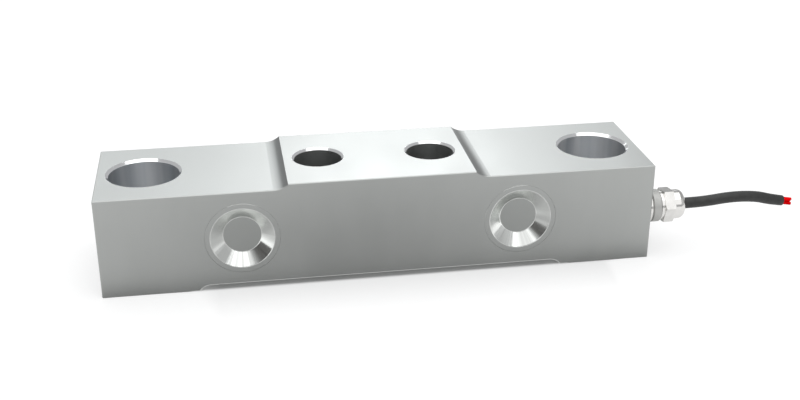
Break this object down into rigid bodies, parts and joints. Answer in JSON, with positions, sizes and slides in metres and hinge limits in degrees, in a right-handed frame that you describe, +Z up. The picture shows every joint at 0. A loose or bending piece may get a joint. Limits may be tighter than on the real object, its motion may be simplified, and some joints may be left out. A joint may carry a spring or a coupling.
{
  "type": "double ended beam load cell",
  "caption": "Steel shear-beam load cell: a bar bolted down at both ends, loaded on a raised centre pad, with sealed gauge pockets and a glanded cable at one end.",
  "frame": {"origin": "centre of the beam's underside, at mid-length and mid-width, on the plane of its two feet", "axes": "+X along the beam towards the cable gland, +Z up out of the load pad, front with the seen covers at -Y"},
  "size_m": [0.2716, 0.0494, 0.041],
  "materials": {
    "beam_steel": "fine satin, nickel plated or bare stainless alloy steel",
    "cover_steel": "turned and polished stainless steel",
    "gauge_film": "amber polyimide carrier with etched foil",
    "terminal_laminate": "glass-fibre laminate with tinned pads",
    "board_laminate": "green solder mask",
    "resistor_body": "moulded body with plated end caps",
    "lead_sleeve": "smooth fluoropolymer sleeve",
    "gland_metal": "bright nickel plate on brass",
    "seal_rubber": "smooth moulded rubber",
    "ring_plastic": "natural nylon",
    "cable_jacket": "matt extruded dark grey sheath",
    "cable_braid": "tinned copper braid",
    "core_insulation": "smooth red insulation",
    "conductor_copper": "bright stranded copper"
  },
  "bodies": {
    "root": {"beam": "beam_steel", "cover_front_left": "cover_steel", "cover_front_right": "cover_steel", "cover_rear_left": "cover_steel", "cover_rear_right": "cover_steel", "gauge_front_left": "gauge_film", "gauge_front_right": "gauge_film", "gauge_rear_left": "gauge_film", "gauge_rear_right": "gauge_film", "terminals_front_left": "terminal_laminate", "terminals_front_right": "terminal_laminate", "terminals_rear_left": "terminal_laminate", "terminals_rear_right": "terminal_laminate", "trim_board": "board_laminate", "resistor_upper_left": "resistor_body", "resistor_upper_right": "resistor_body", "resistor_lower_left": "resistor_body", "resistor_lower_right": "resistor_body", "lead_front_left": "lead_sleeve", "lead_front_right": "lead_sleeve", "lead_rear_left": "lead_sleeve", "lead_rear_right": "lead_sleeve", "gland_washer": "gland_metal", "gland_body": "gland_metal", "gland_seal": "seal_rubber", "gland_thrust_ring": "ring_plastic", "gland_nut": "gland_metal", "cable_jacket": "cable_jacket", "cable_braid": "cable_braid", "core_front_upper": "core_insulation", "core_front_lower": "core_insulation", "core_rear_lower": "core_insulation", "core_rear_upper": "core_insulation", "conductor_front_upper": "conductor_copper", "conductor_front_lower": "conductor_copper", "conductor_rear_lower": "conductor_copper", "conductor_rear_upper": "conductor_copper"}
  },
  "joints": []
}
